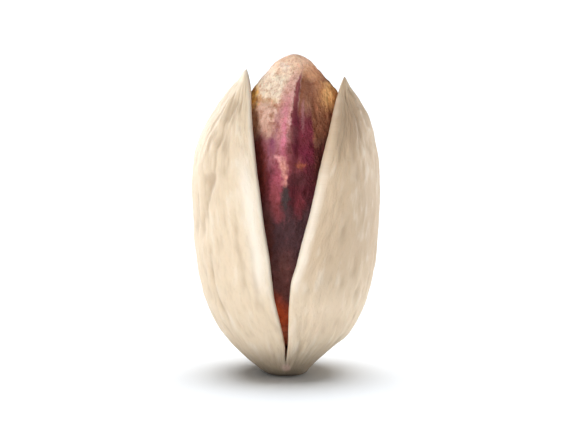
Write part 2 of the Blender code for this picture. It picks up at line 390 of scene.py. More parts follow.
class FinishTree:
    """A material's node tree, with short calls for the nodes that the finishes use."""

    def __init__(self, name: str, colour: Colour) -> None:
        """Starts a material with only its Principled shader.

        Args:
            name: The material's name.
            colour: Its lowest layer of colour.
        """
        self.material = bpy.data.materials.new(name)
        self.material.use_nodes = True
        self.tree = self.material.node_tree
        self.shader = self.tree.nodes["Principled BSDF"]
        self.colour: Socket | Colour = colour

    def feed(self, node: bpy.types.Node, inputs: Inputs) -> None:
        """Links or sets a node's inputs.

        Args:
            node: The node.
            inputs: Under each socket's name or number, the output to link or the value to set.
        """
        for name, value in inputs.items():
            socket = node.inputs[name]
            if isinstance(value, Socket):
                self.tree.links.new(value, socket)
            elif isinstance(value, tuple) and socket.type == "RGBA":
                socket.default_value = (*value, 1.0)
            else:
                socket.default_value = value

    def node(self, kind: str, inputs: Inputs, **settings: str) -> bpy.types.Node:
        """Adds a node.

        Args:
            kind: Its type, without the ShaderNode in front.
            inputs: What its inputs are fed with.
            settings: Its other settings.

        Returns:
            The node.
        """
        node = self.tree.nodes.new("ShaderNode" + kind)
        for name, value in settings.items():
            setattr(node, name, value)
        self.feed(node, inputs)
        return node

    def attribute(self, name: str, output: str = "Fac") -> Socket:
        """What the mesh keeps under this name, as the named output."""
        return self.node("Attribute", {}, attribute_name=name).outputs[output]

    def place(self) -> Socket:
        """The place on the object, in millimetres."""
        return self.scaled(self.node("TexCoord", {}).outputs["Object"], 1.0 / MM)

    def component(self, place: Socket, axis: str) -> Socket:
        """One coordinate of a place."""
        return self.node("SeparateXYZ", {"Vector": place}).outputs[axis]

    def vector(self, kind: str, first: Socket, second: Socket | Triple) -> Socket:
        """A Vector Math node of two vectors."""
        return self.node("VectorMath", {0: first, 1: second}, operation=kind).outputs["Vector"]

    def scaled(self, vector: Socket, factor: float) -> Socket:
        """A vector this many times as long."""
        return self.node("VectorMath", {0: vector, "Scale": factor}, operation="SCALE").outputs["Vector"]

    def times(self, first: Socket, second: Socket | float) -> Socket:
        """The product of two numbers."""
        return self.node("Math", {0: first, 1: second}, operation="MULTIPLY").outputs["Value"]

    def plus(self, first: Socket, second: Socket | float) -> Socket:
        """The sum of two numbers."""
        return self.node("Math", {0: first, 1: second}, operation="ADD").outputs["Value"]

    def span(self, value: Socket, low: float, high: float, start: float = 0.0, end: float = 1.0) -> Socket:
        """Maps low to high on to start to end, smoothly and with nothing beyond."""
        inputs = {"Value": value, "From Min": low, "From Max": high, "To Min": start, "To Max": end}
        return self.node("MapRange", inputs, interpolation_type="SMOOTHSTEP").outputs["Result"]

    def between(self, value: Socket, limits: Pair, edge: float) -> Socket:
        """1 between the limits and 0 outside them, with soft edges."""
        above = self.span(value, limits[0] - edge, limits[0] + edge)
        return self.times(above, self.span(value, limits[1] - edge, limits[1] + edge, 1.0, 0.0))

    def noise(self, place: Socket, scale: float, detail: float, rough: float, output: str = "Fac") -> Socket:
        """Noise at a place, from 0 to 1. Its output Color is three such noises."""
        inputs = {"Vector": place, "Scale": scale, "Detail": detail, "Roughness": rough}
        return self.node("TexNoise", inputs).outputs[output]

    def fibres(self, place: Socket, squeeze: float, scale: float, detail: float, rough: float) -> Socket:
        """Noise that is drawn out along the nut, because it reads the heights squeezed."""
        return self.noise(self.vector("MULTIPLY", place, (1.0, 1.0, squeeze)), scale, detail, rough)

    def mix(self, share: Socket, first: Socket | Colour, second: Socket | Colour) -> Socket:
        """The first colour with a share of the second laid over it."""
        inputs = {"Factor": share, "A": first, "B": second}
        return self.node("Mix", inputs, data_type="RGBA").outputs["Result"]

    def lay(self, share: Socket, colour: Socket | Colour) -> None:
        """Lays a share of a colour over the layers before."""
        self.colour = self.mix(share, self.colour, colour)

    def stain(self, place: Socket, stain: Stain) -> None:
        """Lays a stain over the layers before.

        Args:
            place: The place on the object, in millimetres.
            stain: The stain.
        """
        away = self.vector("DIVIDE", self.vector("SUBTRACT", place, stain.centre), stain.reach)
        away = self.node("VectorMath", {0: away}, operation="LENGTH").outputs["Value"]
        self.lay(self.span(away, 1.0 - stain.edge, 1.0 + stain.edge, stain.strength, 0.0), stain.colour)

    def set_skin(self, fine: Socket, gloss: Gloss) -> None:
        """Feeds the shader of a skin, once its colour is laid.

        Args:
            fine: Fine noise, which its roughness follows.
            gloss: How it shines.
        """
        self.feed(self.shader, {
            "Base Color": self.colour,
            "Roughness": self.span(fine, 0.3, 0.8, gloss.smoothest, gloss.roughest),
            "Specular IOR Level": gloss.specular,
            "Subsurface Weight": gloss.glow,
            "Subsurface Radius": gloss.glow_radius,
            "Subsurface Scale": gloss.glow_depth * MM,
        })

    def raise_surface(self, height: Socket, depth: float, strength: float) -> None:
        """Bumps the surface by a height of 0 to 1 that stands for this depth in millimetres."""
        raised = self.node("Bump", {"Height": height, "Distance": depth * MM, "Strength": strength})
        self.feed(self.shader, {"Normal": raised.outputs["Normal"]})


@dataclass(frozen=True)
class ShellFinish:
    """Dry woody ivory: tan in the hollows as painted shade, nearly white beside the gape, partly as painted
    light, and grey-brown at the foot, darkened there as painted shade.
    """

    name: str = "dry_ivory_shell"
    ivory: Colour = (0.67, 0.54, 0.39)
    # Painted shade: the darker ivory laid over the right valve
    right_painted_shade: Colour = (0.56, 0.425, 0.29)
    tan: Colour = (0.40, 0.29, 0.19)
    pale: Colour = (0.80, 0.72, 0.61)
    # The lining, made golden and, low down, red, partly its own colour and partly painted glow of light
    # through the thin shell
    lining: Colour = (0.84, 0.58, 0.32)
    low_lining_glow: Colour = (0.95, 0.22, 0.12)
    # Grey-brown laid at the foot as painted shade near the floor
    foot: Colour = (0.20, 0.155, 0.11)
    # A brown bruise high on the right valve, deepened as painted shade in the hollow there
    bruise_and_shade: Stain = Stain((4.1, -2.5, 16.7), (0.825, 2.25, 1.65), (0.31, 0.205, 0.13), 0.72, 0.7333)
    # Painted shade on the right valve's side, where the rim light falls too strongly
    side_painted_shade: Stain = Stain((4.9, -2.5, 11.0), (0.825, 2.25, 2.7), (0.40, 0.29, 0.19), 0.4, 0.7333)
    # Painted light low on the right valve, standing in for the floor's bounce
    low_painted_light: Stain = Stain((2.6, -4.0, 4.6), (1.35, 2.25, 1.5), (0.80, 0.63, 0.455), 0.55, 0.7333)
    stem_pink: Stain = Stain((0.0, -3.0, 0.75), (0.2625, 1.125, 0.3), (0.72, 0.50, 0.42), 0.6, 0.6)
    hollow_painted_shade: float = 0.62
    raised_painted_light: float = 0.32
    streak_tan: float = 0.2
    fine_tan: float = 0.12
    lip_pale_and_lit: float = 0.85
    foot_brown: float = 0.88
    gloss: Gloss = Gloss(0.5, 0.66, 0.35, 0.12, 0.5, (1.0, 0.55, 0.3))
    fibre_depth: float = 0.18
    fibre_strength: float = 0.6

    def lay_wall(self, tree: FinishTree, place: Socket, grain: Socket) -> None:
        """Lays the broad colours: the right valve darker as painted shade, tan hollows as painted shade and
        pale rises as painted light.

        Args:
            tree: The material's tree.
            place: The place on the shell, in millimetres.
            grain: The place as the fibres follow it.
        """
        # Painted shade: the right valve darker above its foot
        high = tree.span(tree.component(place, "Z"), 4.0, 9.0)
        right = tree.times(tree.span(tree.component(place, "X"), 0.2, 1.2), high)
        tree.lay(right, self.right_painted_shade)
        # The bruise, partly painted shade
        tree.stain(place, self.bruise_and_shade)
        # Painted shade on the right valve's side
        tree.stain(place, self.side_painted_shade)
        # Tan in the hollows is painted shade and pale on the rises is painted light, both broken by patchy
        # tone
        patches = tree.plus(tree.fibres(grain, 0.5, 0.6, 3.0, 0.55), -0.5)
        hollow_shade_and_patches = tree.plus(tree.attribute("hollow"), tree.times(patches, 1.2))
        tree.lay(tree.span(hollow_shade_and_patches, 0.0, 1.5, 0.0, self.hollow_painted_shade), self.tan)
        tree.lay(tree.span(hollow_shade_and_patches, -0.1, -0.9, 0.0, self.raised_painted_light), self.pale)
        # Painted light low on the right valve
        tree.stain(place, self.low_painted_light)

    def build(self) -> bpy.types.Material:
        """Makes the material.

        Returns:
            The finish, which reads the shell's grain, hollow, lip and inside values.
        """
        tree = FinishTree(self.name, self.ivory)
        place = tree.place()
        height = tree.component(place, "Z")
        grain = tree.attribute("grain", "Vector")
        streaks = tree.fibres(grain, 0.4, 1.7, 4.0, 0.6)
        fine = tree.fibres(grain, 0.6, 5.0, 3.0, 0.6)
        under_tips = tree.span(height, 16.5, 19.0, 1.0, 0.0)
        self.lay_wall(tree, place, grain)
        for fibres, strength in ((streaks, self.streak_tan), (fine, self.fine_tan)):
            share = tree.times(tree.span(fibres, 0.5, 0.75, 0.0, strength), under_tips)
            tree.lay(share, self.tan)
        # The paler lip, partly its own colour and partly painted light
        tree.lay(tree.times(tree.attribute("lip"), self.lip_pale_and_lit), self.pale)
        # Painted shade: darker and grey-brown towards the foot
        low = tree.plus(height, tree.times(streaks, 0.8))
        tree.lay(tree.span(low, 0.3, 3.3, self.foot_brown, 0.0), self.foot)
        tree.stain(place, self.stem_pink)
        # Painted glow inside the shell: golden lining, red low in the crack
        lining = tree.mix(tree.span(height, 4.5, 7.0), self.low_lining_glow, self.lining)
        tree.lay(tree.span(tree.attribute("inside"), 0.35, 0.9), lining)
        tree.set_skin(fine, self.gloss)
        raised = tree.plus(tree.times(streaks, 0.6), tree.times(fine, 0.4))
        tree.raise_surface(tree.times(raised, under_tips), self.fibre_depth, self.fibre_strength)
        return tree.material


@dataclass(frozen=True)
class KernelFinish:
    """Papery seed skin: cream and brown at the top, magenta down the ridge, and plum to maroon below."""

    name: str = "papery_kernel_skin"
    cream: Colour = (0.90, 0.75, 0.58)
    rose: Colour = (0.76, 0.51, 0.40)
    plum: Colour = (0.11, 0.014, 0.022)
    slate: Colour = (0.078, 0.032, 0.036)
    # Red low on the kernel, partly the skin's colour and partly painted glow in the dark slit
    ember: Colour = (0.74, 0.13, 0.035)
    tip: Colour = (1.0, 0.28, 0.14)
    toasted: Colour = (0.46, 0.24, 0.13)
    warm_dark: Colour = (0.66, 0.44, 0.36)
    light_gain: float = 1.25
    light_blush: Colour = (0.045, 0.008, 0.010)
    raggedness: float = 0.75
    gloss: Gloss = Gloss(0.42, 0.62, 0.2, 0.12, 0.3, (1.0, 0.35, 0.2))
    wrinkle_depth: float = 0.3
    wrinkle_strength: float = 0.85
    # The bands, and then the stains over them, from the lowest layer to the highest
    bands: tuple[Band, ...] = (
        # Brown right of the ridge, partly the skin's colour and partly painted shade on the side away from
        # the key
        Band((7.0, 100.0), (15.5, 21.5), (0.27, 0.10, 0.05), 1.0, 2.5, 0.6),
        Band((33.0, 62.0), (17.4, 20.4), (0.58, 0.26, 0.12), 0.5, 12.0, 0.8),
        Band((13.0, 24.0), (16.9, 18.2), (0.48, 0.29, 0.18), 0.35, 4.0, 0.5),
        Band((-15.0, 0.0), (17.8, 20.6), (0.68, 0.34, 0.28), 0.75, 6.0, 0.6),
        Band((-34.0, -11.0), (14.1, 16.1), (0.34, 0.11, 0.14), 0.8, 4.0),
        Band((-14.0, -2.0), (14.6, 18.6), (0.50, 0.19, 0.21), 0.75, 5.0, 1.0),
        Band((-7.0, -1.0), (14.9, 18.1), (0.70, 0.205, 0.30), 0.85, 3.5, 1.0, 0.45),
        Band((-18.0, -11.5), (15.2, 17.3), (0.24, 0.05, 0.12), 0.8, 2.0, 0.5, 0.5),
        # Dark maroon right of the crest, partly the skin's colour and partly painted shade on the ridge's
        # steep side
        Band((0.0, 7.5), (16.6, 20.5), (0.25, 0.05, 0.055), 1.0, 2.0),
        Band((0.5, 24.0), (14.3, 17.6), (0.17, 0.014, 0.038), 0.9, 2.0, 0.7),
        Band((-5.0, -1.0), (16.9, 18.9), (0.58, 0.25, 0.26), 0.6, 2.0, 0.7),
        Band((-2.5, 3.0), (14.3, 16.7), (0.22, 0.06, 0.06), 0.85, 1.5, 0.5, 0.3),
        Band((11.0, 14.0), (16.5, 18.4), (0.40, 0.18, 0.19), 0.6, 1.5),
        # Light pink along the crest, partly the skin's colour and partly a painted highlight
        Band((-2.2, 0.2), (16.6, 20.4), (0.76, 0.40, 0.38), 0.6, 1.0),
    )
    stains: tuple[Stain, ...] = (
        # The toasted crown, made lighter on top as painted light, and its pale middle
        Stain((0.3, 0.0, 20.7), (1.9, 2.6, 0.9), (1.0, 0.68, 0.48), 0.9, 0.5),
        Stain((-0.1, -1.5, 20.35), (0.35, 1.2, 0.3), (0.92, 0.76, 0.63), 0.8, 0.5),
        Stain((1.8, -1.0, 20.0), (0.8, 2.0, 0.5), (0.74, 0.38, 0.20), 0.7, 0.5),
        # Toasted folds and spots on the cream and rosy cheek; the dark fold lines are partly painted shade in
        # the creases
        Stain((-1.4, -3.0, 18.3), (1.0, 3.0, 0.2), (0.58, 0.35, 0.19), 0.7, 0.6),
        Stain((-0.9, -4.0, 17.45), (0.22, 3.0, 0.16), (0.36, 0.14, 0.07), 0.7, 0.5),
        Stain((-0.6, -4.0, 18.0), (0.2, 3.0, 0.14), (0.42, 0.17, 0.09), 0.7, 0.5),
        Stain((-0.95, -4.0, 16.9), (0.18, 3.0, 0.14), (0.36, 0.12, 0.08), 0.7, 0.5),
        Stain((-1.1, -4.0, 16.6), (0.5, 3.0, 0.5), (0.50, 0.25, 0.18), 0.6, 0.7),
        # The salmon squiggle, a painted highlight on the skin, then the orange spot and the grey spot
        Stain((-0.25, -4.2, 14.2), (0.5, 3.0, 0.9), (0.42, 0.09, 0.13), 0.7, 0.7),
        Stain((-0.5, -4.2, 14.8), (0.3, 3.0, 0.15), (0.74, 0.34, 0.33), 0.8, 0.9),
        Stain((-0.22, -4.2, 14.3), (0.2, 3.0, 0.4), (0.82, 0.42, 0.34), 0.85, 0.9),
        Stain((-0.1, -4.2, 13.5), (0.17, 3.0, 0.55), (0.76, 0.36, 0.29), 0.85, 0.9),
        Stain((0.5, -4.2, 14.3), (0.5, 3.0, 0.8), (0.32, 0.08, 0.09), 0.6, 0.6),
        Stain((0.95, -4.2, 14.25), (0.32, 3.0, 0.22), (0.40, 0.11, 0.05), 0.75, 0.6),
        Stain((0.8, -4.2, 13.3), (0.6, 3.0, 0.45), (0.10, 0.025, 0.03), 0.6, 0.5),
        Stain((-0.55, -4.2, 13.1), (0.4, 3.0, 0.8), (0.46, 0.10, 0.14), 0.6, 0.7),
        Stain((-0.08, -4.2, 12.3), (0.34, 3.0, 0.8), (0.055, 0.035, 0.035), 0.95, 0.3),
        # Crimson mottles beside it
        Stain((-0.75, -4.2, 12.1), (0.4, 3.0, 1.0), (0.32, 0.07, 0.08), 0.65, 0.7),
        Stain((-0.5, -4.2, 11.1), (0.35, 3.0, 0.5), (0.28, 0.05, 0.06), 0.6, 0.7),
        Stain((0.8, -4.2, 11.6), (0.35, 3.0, 0.7), (0.20, 0.02, 0.03), 0.6, 0.7),
        # Orange where the skin meets the lips, painted glow of light through the shell's tips; brown and
        # maroon beside them, partly the skin's colour and partly painted shade from the lips
        Stain((-2.35, -1.9, 18.6), (0.6, 1.7, 1.0), (1.0, 0.56, 0.14), 1.0, 0.4),
        Stain((3.2, -1.9, 18.7), (0.85, 1.8, 1.0), (1.0, 0.56, 0.22), 0.9, 0.5),
        Stain((-2.2, -2.4, 16.7), (0.5, 2.0, 1.0), (0.44, 0.19, 0.09), 0.9, 0.4),
        Stain((-1.8, -3.2, 13.8), (0.6, 2.4, 2.5), (0.15, 0.022, 0.015), 0.95, 0.4),
        Stain((2.4, -3.0, 14.0), (0.6, 2.4, 1.6), (0.13, 0.03, 0.02), 0.85, 0.5),
        Stain((-1.3, -4.0, 8.6), (0.45, 3.0, 3.0), (0.12, 0.025, 0.014), 0.85, 0.5),
        Stain((-0.15, -4.0, 6.8), (0.9, 3.0, 1.8), (0.17, 0.06, 0.05), 0.8, 0.6),
    )

    def lay_bands(self, tree: FinishTree, height: Socket, place: Socket) -> None:
        """Lays the colours that follow the height and the crest.

        Args:
            tree: The material's tree.
            height: The height, with ragged noise in it.
            place: The place on the kernel.
        """
        behind = tree.component(place, "Y")
        drift = tree.plus(tree.noise(place, 0.45, 2.0, 0.5), -0.5)
        level = tree.plus(height, tree.times(tree.span(behind, -1.5, 2.0, 0.0, 6.0), drift))
        tree.lay(tree.span(level, 11.0, 12.6), self.plum)
        tree.lay(tree.span(level, 15.2, 16.6), self.rose)
        tree.lay(tree.span(level, 17.7, 18.4), self.cream)
        wobble = tree.plus(tree.noise(place, 4.0, 4.0, 0.6), -0.5)
        past = tree.plus(tree.attribute("past"), tree.times(wobble, 7.0))
        clumps = tree.fibres(place, 0.7, 2.6, 3.0, 0.6)
        front = tree.span(behind, 0.2, 1.0, 1.0, 0.0)
        for band in self.bands:
            across = tree.between(past, band.angles, band.edge)
            share = tree.times(tree.times(across, tree.between(height, band.heights, band.end)), front)
            strength = tree.span(clumps, 0.42, 0.58, band.strength * (1.0 - band.patchy), band.strength)
            tree.lay(tree.times(share, strength), band.colour)
        tree.lay(tree.times(tree.attribute("seam"), 0.8), self.toasted)

    def lay_mottles(self, tree: FinishTree, mottle: Socket, specks: Socket) -> None:
        """Darkens and lightens the skin in small patches, and darkens its folds as painted shade.

        Args:
            tree: The material's tree.
            mottle: Coarse noise.
            specks: Fine noise.
        """
        dark = tree.vector("MULTIPLY", tree.colour, self.warm_dark)
        tree.lay(tree.span(mottle, 0.5, 0.68, 0.0, 0.8), dark)
        tree.lay(tree.span(specks, 0.54, 0.66, 0.0, 0.7), dark)
        # Painted shade in the skin's folds
        tree.lay(tree.times(tree.attribute("fold"), 0.5), dark)
        light = tree.vector("ADD", tree.scaled(tree.colour, self.light_gain), self.light_blush)
        tree.lay(tree.span(mottle, 0.48, 0.32, 0.0, 0.8), light)

    def build(self) -> bpy.types.Material:
        """Makes the material.

        Returns:
            The finish, which reads the kernel's places and its past, seam and fold values.
        """
        tree = FinishTree(self.name, self.slate)
        place = tree.place()
        shove = tree.vector("SUBTRACT", tree.noise(place, 3.0, 6.0, 0.5, "Color"), (0.5, 0.5, 0.5))
        ragged = tree.vector("ADD", place, tree.scaled(shove, self.raggedness))
        height = tree.component(ragged, "Z")
        self.lay_bands(tree, height, place)
        for stain in self.stains:
            tree.stain(ragged, stain)
        # Painted glow: the kernel's low end red and bright in the slit, partly the skin's own red
        leaning = tree.plus(height, tree.times(tree.component(place, "X"), 0.9))
        tree.lay(tree.span(leaning, 4.0, 5.9, 0.95, 0.0), self.ember)
        tree.lay(tree.span(height, 2.8, 4.2, 1.0, 0.0), self.tip)
        mottle = tree.fibres(place, 0.6, 3.4, 5.0, 0.7)
        fine = tree.noise(place, 10.0, 4.0, 0.65)
        self.lay_mottles(tree, mottle, tree.noise(place, 6.5, 4.0, 0.65))
        tree.set_skin(fine, self.gloss)
        wrinkles = tree.plus(tree.times(fine, 0.35), tree.times(mottle, -0.65))
        tree.raise_surface(wrinkles, self.wrinkle_depth, self.wrinkle_strength)
        return tree.material


@dataclass(frozen=True)
class FloorFinish:
    """Plain matt white."""

    name: str = "studio_white"
    colour: Colour = (0.90, 0.94, 0.985)
    roughness: float = 0.9

    def build(self) -> bpy.types.Material:
        """Makes the material.

        Returns:
            The finish.
        """
        tree = FinishTree(self.name, self.colour)
        look = {"Base Color": tree.colour, "Roughness": self.roughness, "Specular IOR Level": 0.0}
        tree.feed(tree.shader, look)
        return tree.material


@dataclass
class Shell:
    """The woody shell: two valves that gape, joined round the stem scar. Sizes in millimetres."""

    around: int = 240
    up: int = 160
    lip_steps: int = 6
    scar_steps: int = 8
    height: float = 20.0
    lean_back: float = 0.35
    fullness: float = 2.15
    wall: float = 1.0
    floor: float = 1.5
    floor_blend: float = 4.0
    tip_solid: float = 0.5
    tip_solid_power: float = 8.0
    lip_share_of_gape: float = 0.45
    lip_share_of_valve: float = 0.3
    front_crack_end: float = FRONT_CRACK_END
    back_crack_end: float = BACK_CRACK_END
    dent_strength: float = 1.4
    pit_depth: float = 0.1
    suture_depth: float = 0.07
    suture_width: float = 0.13
    most_raised: float = 0.08
    scar_hollow: float = 0.12
    scar_radius: float = 1.5
    grain_radius: float = 6.0
    grain_gap: float = 20.0
    weld: float = 0.0005
    depth: Points = (
        (0.0, 1.8), (0.2, 2.25), (0.6, 2.75), (1.2, 3.3), (2.1, 4.0), (3.2, 4.65), (5.2, 5.35), (7.4, 5.72),
        (9.5, 5.8), (12.5, 5.47), (15.0, 4.75), (17.0, 3.78), (18.5, 2.66), (19.4, 1.6), (20.0, 0.0),
    )

    def scar_and_rise(self, unit: Array) -> tuple[Array, Array]:
        """Splits the way up the sphere into the flat scar and the wall above it.

        Args:
            unit: Points of the unit sphere.

        Returns:
            How far out on the scar each point is, and its share of the shell's height.
        """
        climb = np.arccos(np.clip(-unit[:, 2], -1.0, 1.0))
        scar = math.pi * self.scar_steps / self.up
        wall = np.clip((climb - scar) / (math.pi - scar), 0.0, 1.0)
        return np.clip(climb / scar, 0.0, 1.0), (1.0 - np.cos(math.pi * wall)) / 2.0

    def open_cracks(self, piece: Item) -> None:
        """Splits the sphere up its front and back, from the ends of the cracks over the top.

        Args:
            piece: The sphere.
        """
        bpy.ops.object.mode_set(mode="EDIT")
        bpy.ops.mesh.select_all(action="DESELECT")
        bm = bmesh.from_edit_mesh(piece.data)
        unit = np.array([vert.co for vert in bm.verts])
        heights = self.height * self.scar_and_rise(unit)[1]
        for edge in bm.edges:
            if any(abs(vert.co.x) > ON_PLANE for vert in edge.verts):
                continue
            in_front = any(vert.co.y < -ON_PLANE for vert in edge.verts)
            end = self.front_crack_end if in_front else self.back_crack_end
            if max(heights[vert.index] for vert in edge.verts) > end:
                edge.select_set(True)
        bmesh.update_edit_mesh(piece.data)
        bpy.ops.mesh.edge_split(type="EDGE")
        bpy.ops.object.mode_set(mode="OBJECT")

    def note_sides(self, mesh: Mesh) -> None:
        """Keeps at each vertex which valve its faces belong to.

        Args:
            mesh: The split sphere's mesh.
        """
        lean = np.zeros(len(mesh.vertices))
        for face in mesh.polygons:
            lean[list(face.vertices)] += face.center.x
        keep_values(mesh, "side", np.where(np.abs(lean) < ON_PLANE, 0.0, np.sign(lean)))
        for name in ("inside", "bulge"):
            keep_values(mesh, name, np.zeros(len(mesh.vertices)))

    def mark_selected(self, piece: Item, inside: float, bulge: float) -> None:
        """Keeps where the selected vertices are in the wall.

        Args:
            piece: The shell, in edit mode.
            inside: 0 on the outer wall to 1 on the cavity's.
            bulge: How far out on the lip they are, from 0 to 1.
        """
        bm = bmesh.from_edit_mesh(piece.data)
        inside_layer = bm.verts.layers.float["inside"]
        bulge_layer = bm.verts.layers.float["bulge"]
        for vert in bm.verts:
            if vert.select:
                vert[inside_layer] = inside
                vert[bulge_layer] = bulge
        bmesh.update_edit_mesh(piece.data)

    def add_cavity_and_lips(self, piece: Item) -> None:
        """Copies the wall for the cavity, and extrudes the open edge round the lip to meet it.

        Args:
            piece: The split sphere.
        """
        bpy.ops.object.mode_set(mode="EDIT")
        bpy.ops.mesh.select_all(action="SELECT")
        bpy.ops.mesh.duplicate()
        bpy.ops.mesh.flip_normals()
        self.mark_selected(piece, 1.0, 0.0)
        bpy.ops.mesh.select_all(action="DESELECT")
        bm = bmesh.from_edit_mesh(piece.data)
        inside_layer = bm.verts.layers.float["inside"]
        for edge in bm.edges:
            if edge.is_boundary and edge.verts[0][inside_layer] < 0.5:
                edge.select_set(True)
        bmesh.update_edit_mesh(piece.data)
        for step in range(1, self.lip_steps + 1):
            turn = math.pi * step / self.lip_steps
            bpy.ops.mesh.extrude_edges_indiv()
            self.mark_selected(piece, (1.0 - math.cos(turn)) / 2.0, math.sin(turn))
        bpy.ops.object.mode_set(mode="OBJECT")

    def thinned(self, size: Array) -> Array:
        """A half size of the cavity where the outside has this one. It never quite closes."""
        return np.where(size > 0.0, size * size / (size + self.wall), 0.0)

    def shape(self, mesh: Mesh) -> None:
        """Moves the sphere's vertices on to the shell, and keeps the values that the finish reads.

        Args:
            mesh: The sphere's mesh, with its cavity and lips.
        """
        unit = coordinates(mesh)
        side, inside, bulge = (read_values(mesh, name) for name in ("side", "inside", "bulge"))
        scar, rise = self.scar_and_rise(unit)
        across, along = directions(unit)
        right = side > 0.0
        is_open = np.abs(side) > 0.5
        drop = np.where(right, self.height - RIGHT_VALVE.tip_height, self.height - LEFT_VALVE.tip_height)
        heights = self.height * rise - np.where(is_open, drop * rise**3, 0.0)

        def by_valve(name: str) -> Array:
            """The named line of each vertex's own valve."""
            return np.where(right, RIGHT_VALVE.line(name, heights), LEFT_VALVE.line(name, heights))

        front_share = (1.0 - along) / 2.0
        gape = by_valve("front_lip") * front_share + by_valve("back_lip") * (1.0 - front_share)
        gape = np.where(is_open, gape, 0.0)
        reach = by_valve("reach")
        lip = np.where(right, RIGHT_VALVE.lip_rounding, LEFT_VALVE.lip_rounding)
        lip = np.minimum(lip, self.lip_share_of_gape * gape)
        lip = np.minimum(lip, self.lip_share_of_valve * (reach - gape))
        edge = gape + lip
        half_width = (reach - edge) * scar
        half_depth = SmoothLine(self.depth, self.height).at(self.height * rise) * scar
        middle = self.lean_back * rise**2
        out = np.abs(rounded(across, self.fullness))
        forth = rounded(along, self.fullness)
        outer = np.column_stack((edge + half_width * out, middle + half_depth * forth, heights))
        raised = (heights**self.floor_blend + self.floor**self.floor_blend) ** (1.0 / self.floor_blend)
        inner = np.column_stack((
            edge + self.thinned(half_width) * out,
            middle + self.thinned(half_depth) * forth,
            raised - self.tip_solid * rise**self.tip_solid_power,
        ))
        places = outer + (inner - outer) * inside[:, None]
        places[:, 0] -= lip * bulge
        # Paleness beside the gape, partly painted light
        pale = self.pale_and_lit_lip(places[:, 0] - gape, right, heights) * smooth_step(0.05, 0.4, gape)
        keep_values(mesh, "lip", pale)
        round_nut = across * self.grain_radius + side * self.grain_gap
        keep_values(mesh, "grain", np.column_stack((round_nut, along * self.grain_radius, heights)))
        places[:, 0] *= np.where(is_open, side, np.sign(across))
        place_vertices(mesh, places * MM)

    def pale_and_lit_lip(self, from_lip: Array, right: Array, heights: Array) -> Array:
        """How pale the wall is beside the gape: partly the lip's own paler margin, partly painted light where
        the wall turns from the key light.

        Args:
            from_lip: How far each place is from the gape's edge.
            right: Whether it is on the right valve.
            heights: How high it is.

        Returns:
            0 for the wall's own colour to 1 for the palest.
        """
        # The right band is the lip's own paler margin; the left edge and the zone beside it are partly
        # painted light
        right_band = (1.0 - smooth_step(0.3, 0.85, from_lip)) * smooth_step(4.0, 8.0, heights)
        right_band *= 0.8 * (1.0 - smooth_step(11.5, 16.0, heights))
        left_edge = 0.5 + 0.4 * smooth_step(15.0, 17.0, heights)
        left_edge *= 1.0 - smooth_step(0.05, 0.35, from_lip)
        left_zone = bump(0.75, 0.5, from_lip) * smooth_step(5.0, 8.0, heights)
        left_zone *= 1.0 - smooth_step(13.0, 16.0, heights)
        palest = np.where(right, right_band, left_edge + left_zone)
        return palest * smooth_step(self.front_crack_end, 3.0, heights)

    def close(self) -> None:
        """Welds the lip to the cavity's wall and turns every face outwards."""
        bpy.ops.object.mode_set(mode="EDIT")
        bpy.ops.mesh.select_all(action="SELECT")
        bpy.ops.mesh.remove_doubles(threshold=self.weld * MM)
        bpy.ops.mesh.normals_make_consistent(inside=False)
        bpy.ops.mesh.select_all(action="DESELECT")
        bpy.ops.object.mode_set(mode="OBJECT")

    def relief(self, mesh: Mesh, places: Array) -> tuple[Array, Array]:
        """Works out the dents, the lengthwise ribs, the pits behind and the suture.

        Args:
            mesh: The shell's mesh.
            places: Its vertices, in millimetres.

        Returns:
            How far each place stands out of the wall, and how hollow it looks, which the finish darkens as
            painted shade and, where below 0, lightens as painted light.
        """
        sideways, backward, heights = places.T
        grain = read(mesh.attributes["grain"].data, "vector", 3)
        shoved = places[:, [0, 2]] + 0.12 * natural(places, (0.9, 0.9, 0.5), 2, 6.4)[:, None]
        front = smooth_step(0.0, 0.5, -backward)
        dents = self.dent_strength * sum(dent.at(shoved) for dent in DENTS) * front
        pits = smooth_step(0.15, 0.6, natural(grain, (0.9, 0.9, 0.3), 2, 3.1)) * (1.0 - 0.7 * front)
        mottles = natural(grain, (0.9, 0.9, 0.45), 2, 15.3)
        streaks = natural(grain, (1.9, 1.9, 0.8), 2, 27.5)
        ribs = natural(grain, (1.9, 1.9, 0.2), 2, 11.7)
        low = 1.0 - smooth_step(6.0, 10.0, heights)
        raised = 0.05 * mottles + 0.055 * streaks + (0.01 + 0.03 * low) * ribs
        raised *= 1.0 - 0.75 * np.clip(read_values(mesh, "lip"), 0.0, 1.0)
        raised -= dents + self.pit_depth * pits
        closed = 1.0 - smooth_step(self.back_crack_end - 0.6, self.back_crack_end, heights)
        suture = bump(0.0, self.suture_width, sideways) * smooth_step(0.0, 1.0, backward) * closed
        raised -= self.suture_depth * suture
        hollow = dents / 0.22 + 0.9 * suture + 0.6 * pits - 0.6 * mottles - 1.1 * streaks - 0.3 * ribs
        return raised, hollow

